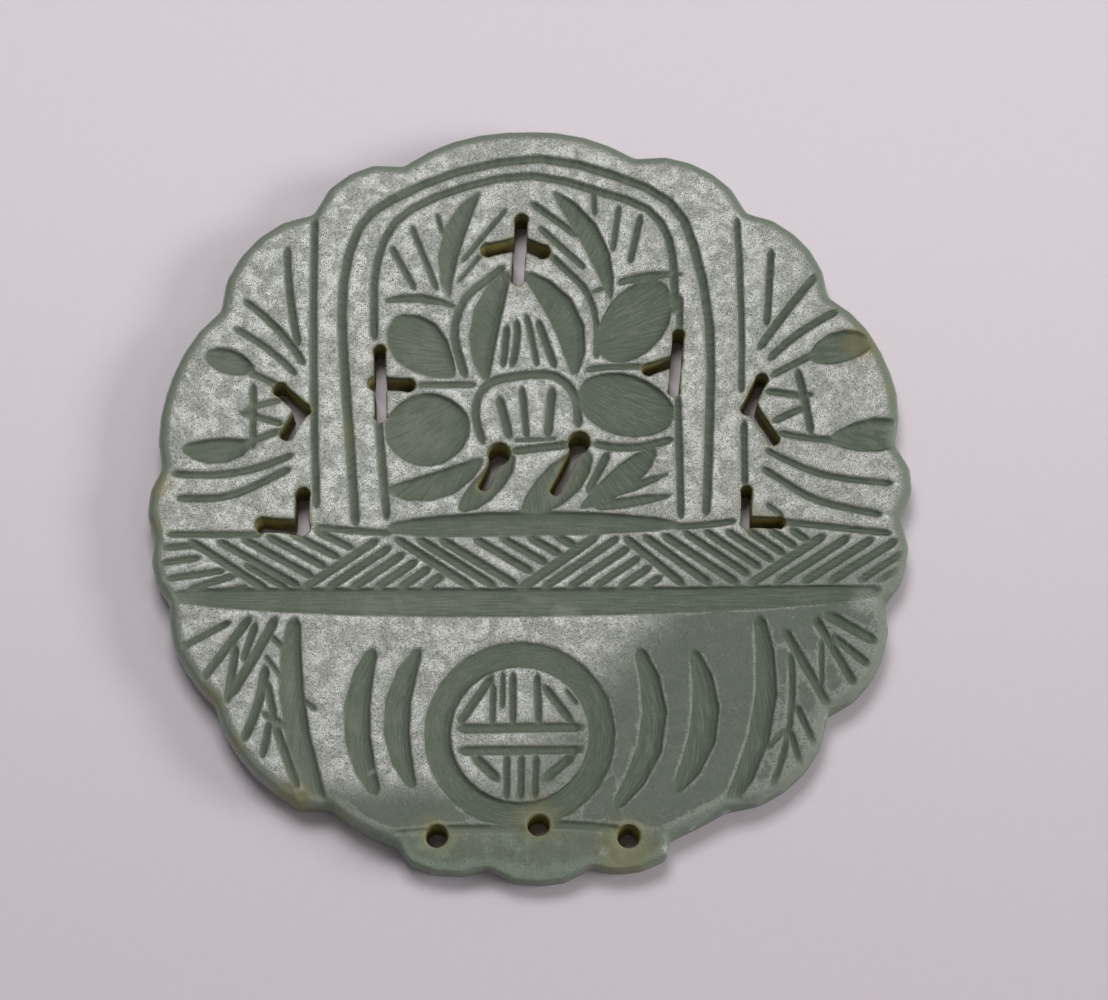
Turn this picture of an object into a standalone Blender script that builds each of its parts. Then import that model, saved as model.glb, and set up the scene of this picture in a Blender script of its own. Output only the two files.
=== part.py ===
"""Carved jade pendant: one flat lobed plate with openwork, cord holes and cut ornament.

The plate lies face up. +X is the viewer's right, +Y the top of the ornament and +Z comes out
of the carved face. The origin is the middle of the plate's footprint on the back face.

The ornament is laid out in face units of one hundredth of half the face width. Every cut is
worked out from its two ends, its width and how far it bows to the left of its own direction.
"""

import math

import bmesh
import bpy
from mathutils import Vector

HALF_WIDTH = 0.0290
THICKNESS = 0.0034
RIM_ROUND = 0.00090
BACK_ROUND = 0.00030
RIM_STEPS = 3
LOBE_SEGMENT = 0.0020
LOBE_FULLNESS = 2.4
LEAST_SPREAD = 0.55

FINE_DEPTH = 0.00026
LINE_DEPTH = 0.00031
BROAD_DEPTH = 0.00042
BROAD_SHALLOW_SHARE = 0.35
WALL_RUN = 0.36
HEADROOM = 0.00022
TIP_RISE = 0.00003
TIP_WIDTH_SHARE = 0.30
TIP_LENGTH_SHARE = 1.1
TIP_CLEARANCE = 1.5
FLOOR_SHARE = 0.16
BROAD_FROM = 4.0
LINE_FROM = 1.85
SLIGHT_BOW = 1.0
SLIGHT_BOW_STEPS = 4
STRONG_BOW_STEPS = 6
LEAF_TIP_SHARE = 0.05
LEAF_FLOOR_RISE = 1.6

SLOT_TAPER = 0.90
SLOT_END_SIDES = 5
SLOT_END_TURN = math.radians(250.0)
BORE_TAPER = 0.80
BORE_SIDES = 12
HOLE_MARGIN = 0.00040
CORD_RADIUS = 0.00091
KEYHOLE_RADIUS = 0.00092

LIP_START = -88.6
LIP_END = -102.5
LIP_HALF_WIDTH = 37.0
LIP_DROP = 0.00115

STONE_COLOUR = (0.105, 0.135, 0.095, 1.0)
STONE_ROUGHNESS = 0.42

UNIT = HALF_WIDTH / 100.0

# Cusps of the scalloped edge, clockwise from the upper left, each with the rise of the lobe
# that follows it.
EDGE = (
    (-59.2, 80.9, 5.4), (-35.1, 94.8, 9.1), (28.1, 97.0, 6.0), (58.0, 81.2, 5.6),
    (79.5, 57.1, 7.1), (96.3, 15.4, 3.7), (97.3, -4.6, 3.8), (92.4, -28.0, 6.1),
    (77.1, -57.3, 6.7), (50.5, -82.6, 0.3), (35.3, -90.4, 0.4), (34.6, -95.3, 2.2),
    (15.1, -97.6, 4.1), (-11.2, -98.0, 1.9), (-30.9, -97.0, 0.5), (-34.2, -92.3, 1.1),
    (-52.1, -82.3, 2.2), (-66.8, -77.9, 2.3), (-82.4, -55.3, 1.0), (-93.6, -39.2, 0.4),
    (-94.9, -28.0, 2.3), (-99.4, -11.0, 2.6), (-98.1, 8.9, 6.0), (-83.6, 53.0, 6.7),
)


def lobe(start, end, rise):
    """Points along one outward lobe from start up to, not including, end."""
    chord = end - start
    length = chord.length
    outward = Vector((-chord.y, chord.x)) / length
    count = max(2, round(length * UNIT / LOBE_SEGMENT))
    points = []
    for step in range(count):
        share = step / count
        bulge = rise * (1.0 - abs(2.0 * share - 1.0) ** LOBE_FULLNESS)
        points.append(start + chord * share + outward * bulge)
    return points


def edge_loop():
    """The plate's edge in face units, clockwise seen from the front."""
    points = []
    for index, (x, y, rise) in enumerate(EDGE):
        following = EDGE[(index + 1) % len(EDGE)]
        points.extend(lobe(Vector((x, y)), Vector(following[:2]), rise))
    return points


EDGE_POINTS = edge_loop()
MIDDLE_X = (min(p.x for p in EDGE_POINTS) + max(p.x for p in EDGE_POINTS)) / 2.0
MIDDLE_Y = (min(p.y for p in EDGE_POINTS) + max(p.y for p in EDGE_POINTS)) / 2.0


def place(x, y, z):
    """A point given in face units across the plate and metres above its back."""
    return Vector(((x - MIDDLE_X) * UNIT, (y - MIDDLE_Y) * UNIT, z))


def inset(loop, distance):
    """The clockwise loop moved inwards by a distance in face units."""
    moved = []
    count = len(loop)
    for index, point in enumerate(loop):
        before = (point - loop[index - 1]).normalized()
        after = (loop[(index + 1) % count] - point).normalized()
        normal = Vector((before.y, -before.x)) + Vector((after.y, -after.x))
        normal.normalize()
        spread = max(LEAST_SPREAD, normal.dot(Vector((after.y, -after.x))))
        moved.append(point + normal * (distance / spread))
    return moved


def new_object(name, bm):
    """A scene object made from a bmesh, with its faces turned outwards."""
    bmesh.ops.recalc_face_normals(bm, faces=bm.faces)
    mesh = bpy.data.meshes.new(name)
    bm.to_mesh(mesh)
    bm.free()
    made = bpy.data.objects.new(name, mesh)
    bpy.context.scene.collection.objects.link(made)
    return made


def build_plate():
    """The plain plate with a rounded front rim and an eased back edge."""
    rings = [(BACK_ROUND, 0.0), (0.0, BACK_ROUND)]
    for step in range(RIM_STEPS + 1):
        angle = math.radians(90.0) * step / RIM_STEPS
        rings.append((RIM_ROUND * (1.0 - math.cos(angle)),
                      THICKNESS - RIM_ROUND * (1.0 - math.sin(angle))))
    bm = bmesh.new()
    loops = []
    for distance, height in rings:
        loop = inset(EDGE_POINTS, distance / UNIT)
        loops.append([bm.verts.new(place(point.x, point.y, height)) for point in loop])
    for lower, upper in zip(loops, loops[1:]):
        for index, vert in enumerate(lower):
            bm.faces.new((vert, lower[index - 1], upper[index - 1], upper[index]))
    bm.faces.new(loops[0])
    bm.faces.new(list(reversed(loops[-1])))
    return new_object("jade_pendant", bm)


def section(centre, across, half, left, right):
    """Four corners of one cutter section, standing on the front face."""
    top = THICKNESS + HEADROOM
    widest = half + HEADROOM * WALL_RUN
    narrow = half * FLOOR_SHARE
    left_foot = max(half - left * WALL_RUN, narrow)
    right_foot = max(half - right * WALL_RUN, narrow)
    corners = (
        centre + across * widest + Vector((0.0, 0.0, top)),
        centre + across * left_foot + Vector((0.0, 0.0, THICKNESS - left)),
        centre - across * right_foot + Vector((0.0, 0.0, THICKNESS - right)),
        centre - across * widest + Vector((0.0, 0.0, top)),
    )
    return corners


class Cutter:
    """A set of cuts of one motif, gathered into one cutting body."""

    def __init__(self, name):
        self.name = name
        self.bm = bmesh.new()

    def sweep(self, stations, closed=False):
        """Join sections given as (x, y, half width, left depth, right depth)."""
        rings = []
        count = len(stations)
        for index, (x, y, half, left, right) in enumerate(stations):
            last = stations[index - 1] if closed or index else stations[index]
            following = stations[(index + 1) % count] if closed or index < count - 1 \
                else stations[index]
            along = Vector((following[0] - last[0], following[1] - last[1])).normalized()
            across = Vector((-along.y, along.x, 0.0))
            corners = section(place(x, y, 0.0), across, half, left, right)
            rings.append([self.bm.verts.new(corner) for corner in corners])
        faces = []
        pairs = list(zip(rings, rings[1:]))
        if closed:
            pairs.append((rings[-1], rings[0]))
        for first, second in pairs:
            for side in range(4):
                after = (side + 1) % 4
                faces.append(self.bm.faces.new(
                    (first[side], first[after], second[after], second[side])))
        if not closed:
            faces.append(self.bm.faces.new(rings[0]))
            faces.append(self.bm.faces.new(list(reversed(rings[-1]))))
        bmesh.ops.triangulate(self.bm, faces=faces)

    def groove(self, points, width):
        """A cut of even width along points, rising out of the stone at both ends."""
        depth = LINE_DEPTH if width >= LINE_FROM else FINE_DEPTH
        half = width * UNIT / 2.0
        tip = width * TIP_LENGTH_SHARE
        first = points[0] + (points[1] - points[0]).normalized() * tip
        final = points[-1] + (points[-2] - points[-1]).normalized() * tip
        stations = [(points[0].x, points[0].y, half * TIP_WIDTH_SHARE, -TIP_RISE, -TIP_RISE)]
        stations.append((first.x, first.y, half, depth, depth))
        for point in points[1:-1]:
            nearest = min((point - points[0]).length, (point - points[-1]).length)
            if nearest > tip * TIP_CLEARANCE:
                stations.append((point.x, point.y, half, depth, depth))
        stations.append((final.x, final.y, half, depth, depth))
        stations.append((points[-1].x, points[-1].y, half * TIP_WIDTH_SHARE,
                         -TIP_RISE, -TIP_RISE))
        self.sweep(stations)

    def stroke(self, x0, y0, x1, y1, width, bow=0.0):
        """A single cut between two ends, bowed to the left of its direction."""
        start = Vector((x0, y0))
        chord = Vector((x1, y1)) - start
        left = Vector((-chord.y, chord.x)).normalized()
        count = 1
        if bow:
            count = STRONG_BOW_STEPS if abs(bow) > SLIGHT_BOW else SLIGHT_BOW_STEPS
        points = []
        for step in range(count + 1):
            share = step / count
            points.append(start + chord * share + left * (4.0 * bow * share * (1.0 - share)))
        self.groove(points, width)

    def path(self, corners, width, steps=3):
        """A cut of even width following a smooth curve through a few corners."""
        knots = [Vector(corner) for corner in corners]
        points = [knots[0]]
        for index in range(len(knots) - 1):
            before = knots[max(index - 1, 0)]
            start = knots[index]
            end = knots[index + 1]
            after = knots[min(index + 2, len(knots) - 1)]
            for step in range(1, steps + 1):
                t = step / steps
                points.append(0.5 * ((2.0 * start) + (end - before) * t
                                     + (2.0 * before - 5.0 * start + 4.0 * end - after) * t * t
                                     + (3.0 * start - before - 3.0 * end + after) * t ** 3))
        self.groove(points, width)

    def leaf(self, x0, y0, x1, y1, width, belly=0.5, full=0.6, bow=0.0, lean=0.0, steps=7):
        """A broad scooped cut, widest at the belly; lean deepens its left or right side."""
        start = Vector((x0, y0))
        chord = Vector((x1, y1)) - start
        left = Vector((-chord.y, chord.x)).normalized()
        power = math.log(0.5) / math.log(belly)
        deep = BROAD_DEPTH if width >= BROAD_FROM else LINE_DEPTH
        stations = []
        for step in range(steps + 1):
            share = 0.5 - 0.5 * math.cos(math.pi * step / steps)
            middle = start + chord * share + left * (4.0 * bow * share * (1.0 - share))
            swell = max(0.0, math.sin(math.pi * share ** power)) ** full
            half = max(swell, LEAF_TIP_SHARE) * width * UNIT / 2.0
            depth = deep * min(1.0, swell * LEAF_FLOOR_RISE)
            left_depth = depth * (1.0 - (1.0 - BROAD_SHALLOW_SHARE) * max(0.0, -lean))
            right_depth = depth * (1.0 - (1.0 - BROAD_SHALLOW_SHARE) * max(0.0, lean))
            if step in (0, steps):
                left_depth = -TIP_RISE
                right_depth = -TIP_RISE
            stations.append((middle.x, middle.y, half, left_depth, right_depth))
        self.sweep(stations)

    def ring(self, x, y, radius, width, lean, sides):
        """A closed round cut about a middle, run anticlockwise."""
        left_depth = BROAD_DEPTH * (1.0 - (1.0 - BROAD_SHALLOW_SHARE) * max(0.0, -lean))
        right_depth = BROAD_DEPTH * (1.0 - (1.0 - BROAD_SHALLOW_SHARE) * max(0.0, lean))
        half = width * UNIT / 2.0
        stations = []
        for step in range(sides):
            angle = math.tau * step / sides
            stations.append((x + radius * math.cos(angle), y + radius * math.sin(angle),
                             half, left_depth, right_depth))
        self.sweep(stations, closed=True)

    def hatch(self, first, last, count, width):
        """Even strokes stepping from the first (x0, y0, x1, y1) to the last."""
        for step in range(count):
            share = step / (count - 1)
            ends = [a + (b - a) * share for a, b in zip(first, last)]
            self.stroke(*ends, width)

    def slot(self, x0, y0, x1, y1, width):
        """An opening sawn between two drilled ends, waisted between them, narrowing to the back."""
        start = Vector((x0, y0))
        chord = Vector((x1, y1)) - start
        turn = math.atan2(chord.y, chord.x)
        rims = []
        for height, share in ((-HOLE_MARGIN, SLOT_TAPER), (THICKNESS + HOLE_MARGIN, 1.0)):
            reach = width * share / 2.0
            rim = []
            for hub, facing in ((start + chord, turn), (start, turn + math.pi)):
                for step in range(SLOT_END_SIDES + 1):
                    angle = facing + SLOT_END_TURN * (step / SLOT_END_SIDES - 0.5)
                    rim.append(self.bm.verts.new(place(hub.x + reach * math.cos(angle),
                                                       hub.y + reach * math.sin(angle), height)))
            rims.append(rim)
        self.wall(rims)

    def bore(self, x, y, radius):
        """A round hole right through the plate."""
        rims = []
        for height, share in ((-HOLE_MARGIN, BORE_TAPER), (THICKNESS + HOLE_MARGIN, 1.0)):
            rim = []
            for step in range(BORE_SIDES):
                angle = math.tau * step / BORE_SIDES
                rim.append(self.bm.verts.new(place(x, y, height) + Vector(
                    (radius * share * math.cos(angle), radius * share * math.sin(angle), 0.0))))
            rims.append(rim)
        self.wall(rims)

    def wall(self, rims):
        """Close two matching rims into one body."""
        lower, upper = rims
        faces = []
        for index, vert in enumerate(lower):
            faces.append(self.bm.faces.new((lower[index - 1], vert, upper[index],
                                            upper[index - 1])))
        faces.append(self.bm.faces.new(list(reversed(lower))))
        faces.append(self.bm.faces.new(upper))
        bmesh.ops.triangulate(self.bm, faces=faces)

    def finish(self, holder):
        """Put the cutting body in the holder collection, out of the picture."""
        made = new_object(self.name, self.bm)
        bpy.context.scene.collection.objects.unlink(made)
        holder.objects.link(made)
        made.hide_render = True
        made.display_type = 'WIRE'


def cut_arches(holder):
    """Two ogee lines framing the flower and a plain line down each side."""
    cut = Cutter("cutter_arches")
    cut.path(((-46.3, -8.6), (-48.1, 14.0), (-50.3, 40.0), (-50.7, 60.0), (-46.8, 76.0),
              (-38.0, 84.2), (-20.0, 92.3), (2.0, 96.1), (22.0, 91.2), (37.0, 83.5),
              (43.3, 71.0), (47.3, 48.0), (46.9, 20.0), (45.7, -5.8)), 2.4, 2)
    cut.path(((-42.0, 43.0), (-42.5, 60.0), (-39.8, 73.0), (-33.0, 81.3), (-18.0, 88.0),
              (0.0, 91.2), (18.0, 86.5), (31.0, 81.5), (36.6, 73.0), (37.9, 62.0),
              (37.9, 51.0)), 2.2, 2)
    cut.stroke(-40.8, 22.5, -38.1, -6.8, 2.1)
    cut.stroke(38.6, 29.5, 39.1, -6.6, 2.0)
    cut.stroke(39.5, 57.5, 39.2, 45.5, 1.8)
    cut.stroke(-58.7, 80.0, -56.7, -3.6, 2.0, -0.6)
    cut.stroke(54.9, 80.0, 55.5, 28.5, 1.8, 0.6)
    cut.stroke(56.1, 22.5, 56.0, 2.5, 1.9)
    cut.finish(holder)


def cut_foliage(holder):
    """Veins and leaves springing about the flower inside the arch."""
    cut = Cutter("cutter_foliage")
    cut.stroke(-38.5, 71.5, -31.0, 57.5, 1.7)
    cut.stroke(-33.0, 77.5, -25.3, 57.5, 1.7)
    cut.stroke(-26.0, 80.7, -24.0, 73.5, 1.3)
    cut.leaf(-22.0, 53.5, -13.5, 87.6, 6.3, 0.55, 0.75, 4.5, -1.0)
    cut.stroke(-6.8, 82.0, -19.5, 65.8, 1.5)
    cut.stroke(-13.5, 69.0, -20.6, 59.8, 1.4)
    cut.stroke(-1.2, 84.0, 12.8, 73.2, 1.9)
    cut.stroke(1.0, 77.0, 14.7, 63.8, 1.8)
    cut.stroke(15.0, 57.4, 20.0, 59.2, 1.4)
    cut.leaf(21.0, 53.2, 4.6, 87.2, 6.3, 0.55, 0.7, -4.0, -1.0)
    cut.stroke(16.3, 89.0, 16.8, 79.0, 1.4)
    cut.stroke(23.4, 83.3, 21.3, 68.5, 1.7)
    cut.stroke(29.3, 80.7, 25.9, 65.2, 1.9)
    cut.leaf(22.3, 60.2, 41.5, 62.9, 2.6, 0.35, 0.5, 0.8, steps=6)
    cut.leaf(-40.3, 55.0, -19.3, 52.8, 2.5, 0.45, 0.5, 2.0, steps=6)
    cut.leaf(-20.3, 32.6, -37.8, 50.2, 15.0, 0.60, 0.60, 0.0, -1.0)
    cut.stroke(-31.5, 31.4, -14.0, 31.5, 1.8)
    cut.leaf(-16.3, 20.0, -39.2, 18.0, 20.6, 0.50, 0.50, 0.0, -0.6, steps=10)
    cut.leaf(-12.6, 11.2, -38.8, 2.3, 7.7, 0.50, 0.60, 3.4, -0.8)
    cut.leaf(19.0, 38.6, 34.5, 61.0, 16.9, 0.50, 0.50, -0.8, 0.5, steps=10)
    cut.stroke(13.2, 35.5, 30.5, 36.6, 1.8, 0.5)
    cut.leaf(12.2, 30.5, 38.0, 22.4, 17.4, 0.48, 0.50, -0.8, 0.5, steps=10)
    cut.path(((15.0, 15.3), (22.0, 14.0), (29.0, 14.2), (38.2, 16.7)), 2.2, 2)
    cut.stroke(20.7, 13.8, 14.1, 0.6, 2.4)
    cut.leaf(11.3, -3.7, 33.0, 13.8, 7.3, 0.60, 0.60, -0.8, 0.6)
    cut.leaf(20.5, 0.9, 37.2, 7.2, 2.7, 0.30, 0.60, steps=5)
    cut.leaf(15.5, -2.7, 37.7, 0.9, 3.2, 0.40, 0.60, steps=5)
    cut.finish(holder)


def cut_flower(holder):
    """The flower: outline, two petals, filaments, ribbed cup and two lower leaves."""
    cut = Cutter("cutter_flower")
    cut.path(((-6.8, 65.7), (-13.0, 60.5), (-18.0, 56.0), (-20.7, 48.5), (-20.3, 42.0),
              (-17.4, 32.6)), 2.3, 2)
    cut.path(((4.2, 68.9), (9.0, 64.0), (13.5, 59.3), (16.3, 53.0), (17.2, 46.0),
              (17.0, 38.2)), 1.9, 2)
    cut.leaf(-12.1, 31.8, -6.2, 64.0, 8.1, 0.52, 0.60, 3.7, -0.7)
    cut.leaf(10.9, 33.3, -2.8, 63.4, 8.4, 0.50, 0.60, -5.2, -0.7)
    cut.stroke(-6.7, 49.1, -7.9, 35.6, 1.9)
    cut.stroke(-4.3, 50.5, -5.8, 35.8, 1.9, 0.8)
    cut.stroke(-1.9, 52.0, 1.4, 35.8, 1.6, 0.2)
    cut.stroke(1.1, 50.6, 6.4, 35.3, 2.0)
    cut.path(((-14.8, 28.2), (-11.5, 32.0), (-7.0, 33.4), (0.0, 34.4), (6.0, 34.0),
              (10.3, 30.5)), 2.4, 2)
    cut.path(((-11.0, 32.3), (-14.3, 28.5), (-15.1, 24.0), (-14.3, 19.0), (-12.4, 14.0)),
             2.2, 2)
    cut.path(((6.8, 33.8), (10.3, 30.3), (11.8, 26.0), (12.3, 18.5)), 2.4, 2)
    cut.stroke(-9.2, 29.2, -5.7, 15.3, 2.4)
    cut.stroke(-2.9, 31.7, -1.4, 15.8, 1.9)
    cut.stroke(5.4, 31.7, 3.9, 15.8, 2.4)
    cut.stroke(-5.7, 15.9, 7.0, 16.4, 1.2)
    cut.stroke(-6.5, 12.8, 11.0, 15.0, 2.2)
    cut.leaf(-19.2, -3.7, -4.6, 12.0, 7.3, 0.48, 0.55, -0.5, 0.5)
    cut.leaf(-3.4, -5.0, 15.4, 13.2, 10.6, 0.55, 0.55, -0.8, 0.5)
    cut.finish(holder)


def cut_waves(holder):
    """Leaves, veins and wave lines filling the plate left and right of the arch."""
    cut = Cutter("cutter_waves")
    cut.stroke(-66.0, 71.5, -62.2, 41.8, 2.1, -0.8)
    cut.stroke(-77.9, 55.8, -60.3, 36.4, 2.0, 1.5)
    cut.stroke(-80.4, 47.8, -62.3, 33.6, 1.8, 1.2)
    cut.leaf(-73.6, 35.4, -87.4, 40.3, 7.2, 0.55, 0.55, 0.0, -0.6, steps=7)
    cut.stroke(-76.5, 35.3, -67.0, 30.8, 1.9, 0.3)
    cut.stroke(-74.2, 32.6, -73.9, 12.8, 1.9)
    cut.stroke(-76.8, 24.3, -65.8, 27.3, 1.6, 0.3)
    cut.stroke(-78.4, 24.1, -65.3, 20.2, 1.7)
    cut.leaf(-73.8, 15.3, -92.9, 13.9, 7.2, 0.50, 0.55, 1.6, -0.6, steps=7)
    cut.stroke(-77.3, 14.8, -66.2, 19.2, 1.9, -0.3)
    cut.path(((-96.0, 6.8), (-85.0, 6.3), (-77.0, 7.2), (-70.0, 9.2), (-62.3, 12.5)), 2.0, 2)
    cut.path(((-94.4, 0.0), (-85.0, -0.1), (-78.0, 1.1), (-71.0, 4.4), (-63.1, 8.6)), 2.0, 2)
    cut.stroke(64.2, 70.9, 62.5, 47.3, 2.0)
    cut.stroke(76.8, 63.5, 59.7, 40.7, 2.3, -0.4)
    cut.stroke(82.6, 52.8, 62.2, 37.8, 2.2, -1.3)
    cut.leaf(74.0, 38.4, 91.0, 43.4, 9.0, 0.50, 0.50, 1.4, 0.4, steps=7)
    cut.stroke(62.5, 33.5, 76.5, 41.0, 2.0)
    cut.stroke(70.2, 36.9, 73.9, 17.0, 2.1, 0.3)
    cut.stroke(71.8, 28.9, 75.4, 28.6, 1.5)
    cut.stroke(61.0, 29.9, 73.4, 28.2, 1.9)
    cut.stroke(62.9, 20.8, 73.4, 25.8, 2.0)
    cut.leaf(77.7, 15.9, 99.5, 18.6, 9.7, 0.62, 0.45, 0.0, 0.4, steps=7)
    cut.stroke(64.0, 18.4, 81.0, 16.0, 2.0, -0.5)
    cut.path(((60.8, 13.9), (68.0, 10.0), (75.0, 7.0), (84.0, 5.1), (96.0, 4.0)), 1.9, 2)
    cut.path(((59.8, 8.8), (66.0, 4.8), (72.0, 0.8), (79.0, -1.8), (93.0, -4.8)), 2.0, 2)
    cut.stroke(60.8, -1.0, 66.5, -5.4, 1.5)
    cut.finish(holder)


def cut_band(holder):
    """The zigzag hatched band with the broad scooped rim above and channel below it."""
    cut = Cutter("cutter_band")
    cut.leaf(-38.8, -8.5, 39.3, -7.4, 7.0, 0.46, 0.40, 0.9, 1.0, steps=10)
    cut.stroke(-57.7, -7.8, -36.0, -9.6, 1.9, -0.3)
    cut.stroke(36.0, -8.0, 54.5, -6.1, 1.9, -0.3)
    cut.stroke(-96.8, -10.0, -70.0, -10.0, 1.8)
    cut.stroke(64.5, -6.3, 95.3, -9.8, 1.9)
    cut.leaf(-95.6, -26.8, 92.8, -25.4, 8.0, 0.46, 0.30, -2.4, 1.0, steps=12)
    cut.finish(holder)
    cut = Cutter("cutter_hatching")
    cut.stroke(-97.8, -13.7, -87.5, -12.9, 1.9)
    cut.stroke(-98.3, -18.0, -86.0, -16.2, 1.9)
    cut.stroke(-96.9, -22.3, -79.5, -19.7, 1.9)
    cut.stroke(-91.0, -25.4, -76.5, -20.7, 2.0)
    cut.stroke(-81.5, -25.5, -73.8, -23.9, 1.3)
    cut.stroke(-90.8, -11.0, -68.0, -26.0, 2.3)
    cut.stroke(-76.3, -17.5, -63.0, -25.4, 1.9)
    cut.hatch((-83.3, -11.3, -59.8, -24.7), (-57.8, -8.5, -46.0, -14.4), 5, 2.1)
    cut.hatch((-61.0, -25.6, -39.5, -10.7), (-29.5, -25.6, -22.3, -20.1), 6, 2.3)
    cut.hatch((-36.8, -10.4, -14.5, -25.2), (-25.0, -10.7, -3.0, -24.4), 3, 2.3)
    cut.hatch((-16.2, -10.5, 1.0, -20.9), (4.8, -9.6, 12.5, -13.8), 4, 2.3)
    cut.stroke(18.3, -9.4, -4.5, -25.9, 2.6)
    cut.hatch((23.6, -10.1, 2.0, -25.2), (34.8, -20.8, 28.0, -25.2), 5, 2.2)
    cut.hatch((23.3, -9.9, 40.6, -24.5), (33.3, -9.3, 54.7, -24.0), 3, 2.4)
    cut.hatch((38.8, -8.5, 57.6, -21.6), (67.0, -7.9, 73.4, -12.3), 6, 2.1)
    cut.hatch((77.8, -9.5, 55.8, -24.3), (96.8, -10.8, 77.0, -23.4), 4, 2.4)
    cut.stroke(98.3, -14.2, 85.0, -23.0, 2.0)
    cut.stroke(97.6, -18.6, 90.5, -22.6, 1.7)
    cut.finish(holder)


def cut_lower_field(holder):
    """Fans of strokes in both lower corners and scythe-shaped cuts beside the disc."""
    cut = Cutter("cutter_scythes")
    cut.leaf(-61.7, -31.6, -53.0, -84.0, 6.6, 0.50, 0.30, -4.3, 0.8)
    cut.leaf(-40.8, -40.2, -39.4, -80.5, 7.1, 0.50, 0.40, -5.3, 0.8)
    cut.leaf(-28.8, -40.2, -30.0, -78.8, 7.1, 0.50, 0.45, -5.7, 0.8)
    cut.leaf(27.2, -39.9, 20.7, -83.7, 6.8, 0.50, 0.40, 7.6, 0.3)
    cut.leaf(41.6, -40.6, 36.4, -79.6, 7.4, 0.52, 0.45, 5.9, 0.3)
    cut.leaf(58.8, -31.1, 49.3, -84.4, 5.9, 0.50, 0.30, 6.1, 0.3)
    cut.finish(holder)
    cut = Cutter("cutter_fans")
    cut.stroke(-77.8, -33.2, -92.8, -41.6, 1.9)
    cut.stroke(-72.7, -31.5, -86.3, -50.2, 2.5)
    cut.stroke(-76.9, -39.0, -79.0, -56.3, 2.4)
    cut.stroke(-71.7, -33.1, -75.4, -45.2, 2.1)
    cut.stroke(-66.2, -31.3, -79.0, -54.8, 2.7, 0.4)
    cut.stroke(-69.8, -42.2, -62.8, -51.8, 1.3)
    cut.stroke(-69.1, -44.6, -75.1, -66.6, 2.5, 1.2)
    cut.stroke(-69.0, -49.0, -66.4, -60.3, 2.0)
    cut.stroke(-70.5, -57.7, -61.0, -63.2, 1.8)
    cut.stroke(-67.6, -59.3, -69.6, -70.8, 2.0)
    cut.stroke(-66.8, -60.2, -59.8, -79.0, 2.3)
    cut.stroke(-68.4, -37.1, -64.0, -41.6, 1.6)
    cut.stroke(-60.0, -54.2, -55.2, -57.9, 1.4)
    cut.stroke(75.6, -30.9, 90.8, -39.8, 3.0)
    cut.stroke(77.3, -36.8, 88.7, -46.2, 2.4)
    cut.stroke(73.3, -31.6, 84.4, -51.9, 2.4)
    cut.stroke(75.4, -37.8, 75.1, -51.9, 1.6)
    cut.stroke(65.2, -34.8, 77.9, -58.2, 2.5)
    cut.stroke(67.2, -41.3, 61.2, -79.3, 1.9, 2.5)
    cut.stroke(68.2, -55.3, 73.9, -68.7, 2.0)
    cut.stroke(66.4, -61.8, 70.1, -74.5, 2.0)
    cut.stroke(66.4, -61.6, 60.3, -68.0, 1.6)
    cut.finish(holder)


def cut_disc(holder):
    """The round disc: its scooped surround and the strokes crossing it."""
    cut = Cutter("cutter_disc")
    cut.ring(-3.1, -63.8, 21.3, 7.0, 0.7, 32)
    cut.stroke(-20.2, -62.3, 14.2, -61.9, 2.6)
    cut.stroke(-19.9, -68.2, 13.9, -67.9, 2.4)
    cut.stroke(-9.5, -47.2, -19.2, -61.6, 2.3)
    cut.stroke(-13.6, -52.1, -19.3, -61.0, 1.3)
    cut.stroke(-9.9, -49.6, -10.3, -62.0, 1.8)
    cut.stroke(-7.6, -46.3, -7.6, -57.7, 1.6)
    cut.stroke(-5.0, -46.3, -4.9, -62.0, 2.0)
    cut.stroke(1.3, -46.8, 1.8, -62.0, 2.0)
    cut.stroke(2.4, -50.0, 11.0, -61.4, 2.3)
    cut.stroke(8.2, -51.3, 12.4, -56.5, 1.3)
    cut.stroke(-16.0, -68.5, -7.6, -76.8, 2.6)
    cut.hatch((-6.4, -68.4, -6.5, -81.6), (1.2, -68.4, 0.8, -81.6), 3, 2.0)
    cut.stroke(11.6, -68.5, 2.4, -76.6, 2.6)
    cut.stroke(-36.3, -90.1, -26.0, -88.9, 1.5)
    cut.stroke(-23.5, -88.7, 0.5, -88.4, 2.4)
    cut.stroke(3.0, -87.5, 24.0, -89.0, 2.4, 0.4)
    cut.finish(holder)


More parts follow.
